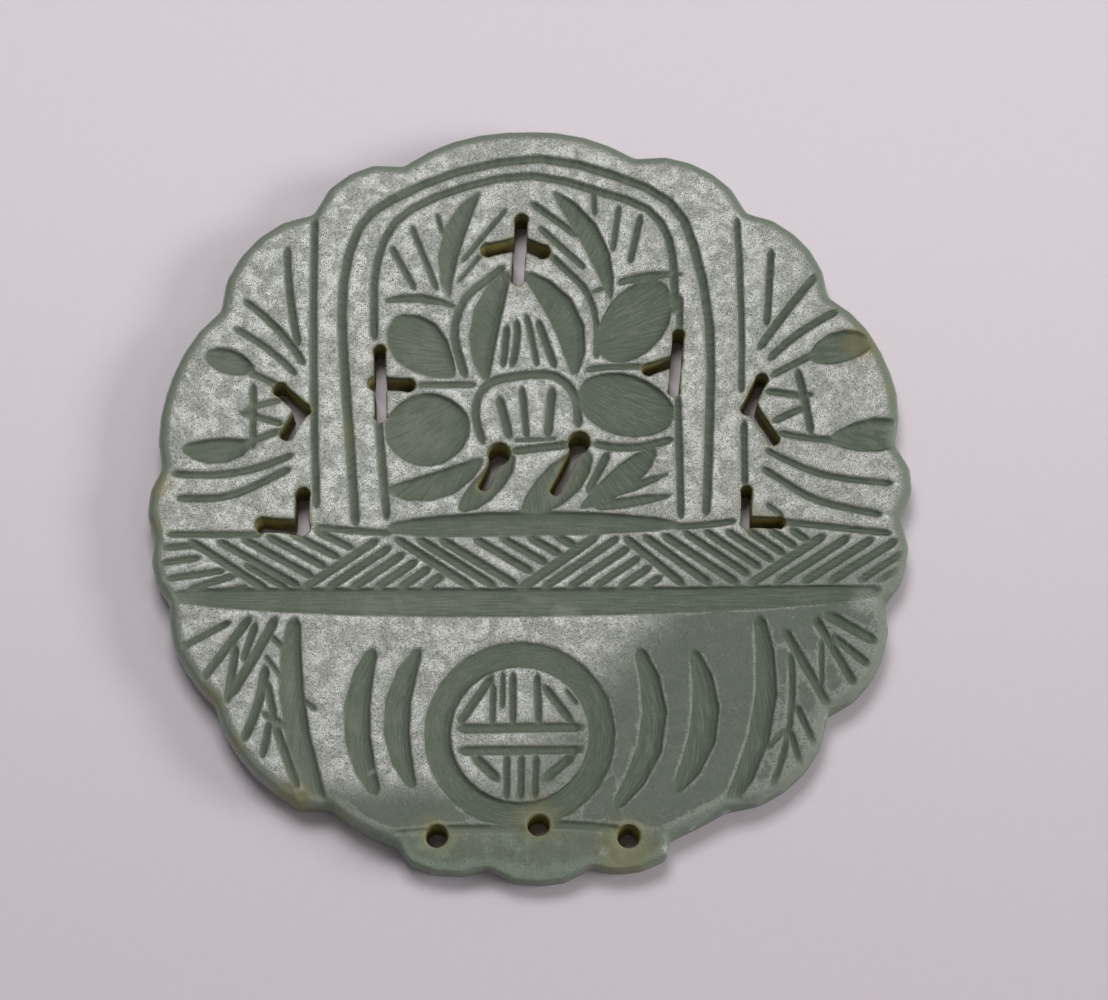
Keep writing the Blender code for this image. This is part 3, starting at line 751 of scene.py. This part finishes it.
@dataclass
class Plate:
    """The carved plate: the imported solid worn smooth, with gently uneven faces."""

    node: str = "jade_pendant"
    name: str = "carved_plate"
    merge: float = 0.000001
    voxel: float = 0.00012
    quick_voxel: float = 0.00022
    softening_rounds: int = 3
    waviness: float = 0.00006
    wave_size: float = 0.0060
    wobble: float = 0.00005
    wobble_size: float = 0.0009
    most_triangles: int = 190000
    rim_from: float = 0.0255
    cord_holes: tuple = ((-24.3, -90.4), (1.8, -87.5), (24.9, -90.5))
    cord_clear: float = 0.0013
    inner_reach: float = 0.0277
    stain_reach: float = 0.0006
    rim_reach: float = 0.0010
    rounding_rounds: int = 40
    edge_drop: float = 0.0001
    edge_fade: float = 0.0003
    steep_from: float = 0.97
    steep_fade: float = 0.12
    least_weight: float = 0.02
    wall_slope: float = 0.5
    wall_foot: float = 0.0004
    wall_drop: float = 0.0007
    rim_drop: float = 0.0009
    relief_rounds: int = 10
    relief_height: float = 0.00008
    piece: bpy.types.Object | None = field(default=None, repr=False)

    def copy_solid(self) -> bpy.types.Object:
        """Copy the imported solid's mesh into a piece of its own and join its loose triangles."""
        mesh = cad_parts[self.node].data.copy()
        mesh.materials.clear()
        piece = bpy.data.objects.new(self.name, mesh)
        bpy.context.scene.collection.objects.link(piece)
        alone(piece)
        bpy.ops.object.mode_set(mode="EDIT")
        bpy.ops.mesh.select_all(action="SELECT")
        bpy.ops.mesh.remove_doubles(threshold=self.merge)
        bpy.ops.mesh.normals_make_consistent(inside=False)
        bpy.ops.object.mode_set(mode="OBJECT")
        return piece

    def apply(self, kind: str, **settings: object) -> None:
        """Add one modifier to the piece and apply it.

        Args:
            kind: The modifier's type.
            **settings: Its settings.
        """
        step = self.piece.modifiers.new(kind.lower(), kind)
        for key, value in settings.items():
            setattr(step, key, value)
        alone(self.piece)
        bpy.ops.object.modifier_apply(modifier=step.name)

    def uneven(self, size: float, rise: float) -> None:
        """Move the surface in and out by soft noise.

        Args:
            size: Size of the swells.
            rise: Height between the lowest and the highest.
        """
        swell = bpy.data.textures.new("swell", "CLOUDS")
        swell.noise_scale = size
        swell.noise_depth = 2
        self.apply("DISPLACE", texture=swell, texture_coords="LOCAL", direction="NORMAL",
                   strength=rise, mid_level=0.5)

    def wear(self) -> None:
        """Turn the faceted copy into a worn surface within the triangle budget."""
        voxel = self.voxel
        self.apply("REMESH", mode="VOXEL", voxel_size=voxel, use_smooth_shade=True)
        self.apply("SMOOTH", factor=0.5, iterations=self.softening_rounds)
        self.round_rim()
        self.uneven(self.wave_size, self.waviness)
        self.uneven(self.wobble_size, self.wobble)
        mesh = self.piece.data
        mesh.calc_loop_triangles()
        count = len(mesh.loop_triangles)
        if count > self.most_triangles:
            self.apply("DECIMATE", decimate_type="COLLAPSE",
                       ratio=self.most_triangles / count)
        self.settle()
        alone(self.piece)
        bpy.ops.object.shade_smooth()

    def points(self, what: str) -> np.ndarray:
        """Read one vector per point of the piece.

        Args:
            what: Either co or normal.

        Returns:
            One row per point.
        """
        vertices = self.piece.data.vertices
        rows = np.empty(len(vertices) * 3)
        vertices.foreach_get(what, rows)
        return rows.reshape(-1, 3)

    def round_rim(self) -> None:
        """Smooth the outer edge round the plate, but not up and down it."""
        places = self.points("co")
        normals = self.points("normal")
        outside = np.hypot(places[:, 0], places[:, 1]) > self.rim_from
        for x, y in self.cord_holes:
            hole = face_place(x, y) * MILLIMETRE
            outside &= np.hypot(places[:, 0] - hole.x, places[:, 1] - hole.y) > self.cord_clear
        drop = CAD_BOX[1].z - self.edge_drop - places[:, 2]
        low = np.clip(drop / self.edge_fade, 0.0, 1.0)
        steep = np.clip((self.steep_from - np.abs(normals[:, 2])) / self.steep_fade, 0.0, 1.0)
        group = self.piece.vertex_groups.new(name="outer_edge")
        for index in np.flatnonzero(outside & (low * steep > self.least_weight)):
            group.add([int(index)], float(low[index] * steep[index]), "REPLACE")
        self.apply("SMOOTH", factor=0.5, iterations=self.rounding_rounds, use_z=False,
                   vertex_group=group.name)
        self.piece.vertex_groups.clear()

    def settle(self) -> None:
        """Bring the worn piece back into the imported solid's box, resting on its back."""
        mesh = self.piece.data
        places = self.points("co")
        low = places.min(0)
        high = places.max(0)
        floor = np.maximum(low, CAD_BOX[0])
        roof = np.minimum(high, CAD_BOX[1])
        floor[2] = CAD_BOX[0].z
        places = floor + (places - low) * (roof - floor) / (high - low)
        mesh.vertices.foreach_set("co", places.ravel())
        mesh.update()

    def measure(self) -> None:
        """Store how near each point is to an opening and how far it stands out of the relief."""
        mesh = self.piece.data
        count = len(mesh.vertices)
        places = self.points("co")
        normals = self.points("normal")
        top = CAD_BOX[1].z
        raised = places[:, 2] > self.wall_foot
        inner = np.hypot(places[:, 0], places[:, 1]) < self.inner_reach
        steep = np.abs(normals[:, 2]) < self.wall_slope
        walls = inner & steep & raised & (places[:, 2] < top - self.wall_drop)
        self.store("near_hole", self.nearness(places, walls, self.stain_reach))
        outer = ~inner & raised & (places[:, 2] < top - self.rim_drop)
        self.store("rim", self.nearness(places, outer, self.rim_reach))

        ends = np.empty(len(mesh.edges) * 2, int)
        mesh.edges.foreach_get("vertices", ends)
        ends = ends.reshape(-1, 2)
        joined = np.bincount(ends.ravel(), minlength=count)
        soft = places.copy()
        for _ in range(self.relief_rounds):
            total = np.zeros_like(soft)
            for axis in range(3):
                total[:, axis] = np.bincount(ends[:, 0], soft[ends[:, 1], axis], count) \
                    + np.bincount(ends[:, 1], soft[ends[:, 0], axis], count)
            soft = total / np.maximum(joined, 1)[:, None]
        proud = ((places - soft) * normals).sum(1) / self.relief_height
        self.store("relief", np.clip(0.5 + proud * 0.5, 0.0, 1.0))

    def nearness(self, places: np.ndarray, chosen: np.ndarray, reach: float) -> np.ndarray:
        """How near every point is to the chosen ones, seen from above.

        Args:
            places: All points.
            chosen: True for the points that are measured to.
            reach: Distance over which the nearness fades.

        Returns:
            1 beside a chosen point, fading to 0.
        """
        flat = places * np.array((1.0, 1.0, 0.0))
        found = np.flatnonzero(chosen)
        tree = KDTree(len(found))
        for index in found:
            tree.insert(flat[index], int(index))
        tree.balance()
        spans = np.array([tree.find(place)[2] for place in flat])
        return np.exp(-((spans / reach) ** 2))

    def store(self, name: str, values: np.ndarray) -> None:
        """Keep one number per point for the material to read.

        Args:
            name: The attribute's name.
            values: The numbers.
        """
        made = self.piece.data.attributes.new(name, "FLOAT", "POINT")
        made.data.foreach_set("value", values.astype(np.float32))

    def build(self, finish: JadeFinish) -> None:
        """Make the plate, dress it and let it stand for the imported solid.

        Args:
            finish: The stone's finish.
        """
        self.piece = self.copy_solid()
        self.wear()
        self.measure()
        self.piece.data.materials.append(finish.make())
        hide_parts(self.node)
        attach(self.piece, "root")
        self.piece.data.calc_loop_triangles()
        LOG.info("%s: %d triangles", self.name, len(self.piece.data.loop_triangles))


@dataclass(frozen=True)
class Panel:
    """One soft studio light, aimed at the plate."""

    name: str
    turn: float
    lift: float
    distance: float
    width: float
    height: float
    power: float
    tint: tuple = (1.0, 1.0, 1.0)
    roll: float = 0.0

    def hang(self) -> None:
        """Hang the light. Turn 0 is behind the viewer and 90 is on the viewer's right."""
        lamp = bpy.data.lights.new(self.name, "AREA")
        lamp.shape = "RECTANGLE"
        lamp.size = self.width
        lamp.size_y = self.height
        lamp.energy = self.power
        lamp.color = self.tint
        turn = math.radians(self.turn)
        lift = math.radians(self.lift)
        away = Vector((math.sin(turn) * math.cos(lift), -math.cos(turn) * math.cos(lift),
                       math.sin(lift)))
        stand = bpy.data.objects.new(self.name, lamp)
        bpy.context.scene.collection.objects.link(stand)
        aim = (-away).to_track_quat("-Z", "Y").to_matrix().to_4x4()
        stand.matrix_world = Matrix.Translation(away * self.distance) @ aim \
            @ Matrix.Rotation(math.radians(self.roll), 4, "Z")


@dataclass
class Studio:
    """Pale paper, soft lights and the camera."""

    eye_right: float = 0.00167895
    eye_up: float = -0.08259576
    eye_height: float = 0.27294372
    lift: float = 73.0
    lens: float = 120.0
    sensor: float = 36.0
    paper_size: float = 1.6
    subdivisions: int = 64
    fill: float = 0.20
    fill_tint: tuple = (0.95, 0.97, 1.0, 1.0)
    panels: tuple = (
        Panel("sky_panel", 190.0, 68.0, 0.38, 0.165, 0.130, 0.85, (0.99, 0.99, 0.99), 25.0),
        Panel("side_panel", 62.0, 55.0, 0.80, 0.26, 0.26, 0.4, (1.0, 0.99, 0.97)),
        Panel("rim_panel", 84.0, 28.0, 0.80, 0.34, 0.20, 3.1, (1.0, 1.0, 1.0)),
    )

    def lay_paper(self, finish: PaperFinish) -> None:
        """Lay the paper that the plate lies on.

        Args:
            finish: The paper's finish.
        """
        bpy.ops.object.select_all(action="DESELECT")
        bpy.ops.mesh.primitive_grid_add(
            x_subdivisions=self.subdivisions, y_subdivisions=self.subdivisions,
            size=self.paper_size, location=(0.0, 0.0, 0.0))
        paper = bpy.context.active_object
        paper.name = "paper"
        paper.data.materials.append(finish.make())

    def set_camera(self) -> None:
        """Stand the camera where the pendant was seen from."""
        data = bpy.data.cameras.new("camera")
        data.lens = self.lens
        data.sensor_width = self.sensor
        data.clip_start = 0.01
        data.clip_end = 10.0
        camera = bpy.data.objects.new("camera", data)
        bpy.context.scene.collection.objects.link(camera)
        lift = math.radians(self.lift)
        ahead = Vector((0.0, math.cos(lift), -math.sin(lift)))
        middle = FACE_MIDDLE * FACE_UNIT
        eye = Vector((self.eye_right - middle.x, self.eye_up - middle.y, self.eye_height))
        camera.matrix_world = Matrix.Translation(eye) \
            @ ahead.to_track_quat("-Z", "Y").to_matrix().to_4x4()
        bpy.context.scene.camera = camera

    def light(self) -> None:
        """Hang the panels and set the even fill."""
        for panel in self.panels:
            panel.hang()
        world = bpy.data.worlds.new("studio")
        world.use_nodes = True
        background = world.node_tree.nodes["Background"]
        background.inputs["Color"].default_value = self.fill_tint
        background.inputs["Strength"].default_value = self.fill
        scene = bpy.context.scene
        scene.world = world
        scene.view_settings.view_transform = "Standard"
        scene.view_settings.look = "None"

    def build(self, paper: PaperFinish) -> None:
        """Set up paper, camera and lights.

        Args:
            paper: The paper's finish.
        """
        self.lay_paper(paper)
        self.set_camera()
        self.light()
        LOG.info("studio: %d panels", len(self.panels))


def main() -> None:
    """Build the studio and the pendant in order."""
    logging.basicConfig(level=logging.INFO, format="%(name)s: %(message)s")
    Studio().build(PaperFinish())
    Plate().build(JadeFinish())


if __name__ == "__main__":
    main()
